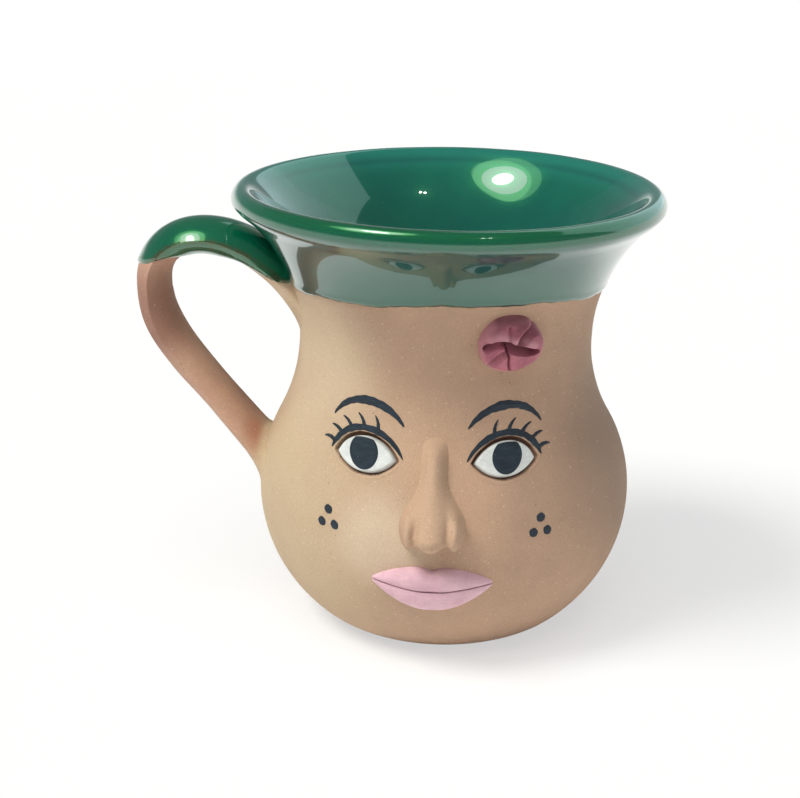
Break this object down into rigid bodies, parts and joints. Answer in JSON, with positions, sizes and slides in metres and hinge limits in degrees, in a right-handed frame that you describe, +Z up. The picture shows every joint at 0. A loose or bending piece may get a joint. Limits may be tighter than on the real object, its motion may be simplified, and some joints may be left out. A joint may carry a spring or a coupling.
{
  "type": "clay mug",
  "caption": "Pot-bellied clay mug with a flared glazed mouth, a strap handle, and a calm face of applied clay and painted slip with a pinched rosette.",
  "frame": {"origin": "centre of the foot, on the flat face that the mug stands on", "axes": "+Z up through the mouth, -Y out of the face, -X out of the handle"},
  "size_m": [0.124, 0.1024, 0.1049],
  "materials": {
    "terracotta": "matt unglazed earthenware with fine mica, smoothed by hand",
    "green_glaze": "deep glossy emerald glaze",
    "pink_clay": "satin pink slip on clay",
    "white_slip": "satin white slip",
    "charcoal_slip": "matt charcoal slip, brushed on"
  },
  "bodies": {
    "root": {"body": "terracotta", "handle": "terracotta", "glaze_coat": "green_glaze", "handle_glaze": "green_glaze", "nose": "terracotta", "upper_lip": "pink_clay", "lower_lip": "pink_clay", "rosette": "pink_clay", "eye_left": "white_slip", "eye_right": "white_slip", "iris_left": "charcoal_slip", "iris_right": "charcoal_slip", "lid_left": "charcoal_slip", "lid_right": "charcoal_slip", "brow_left": "charcoal_slip", "brow_right": "charcoal_slip", "cheek_dots_left": "charcoal_slip", "cheek_dots_right": "charcoal_slip"}
  },
  "joints": []
}
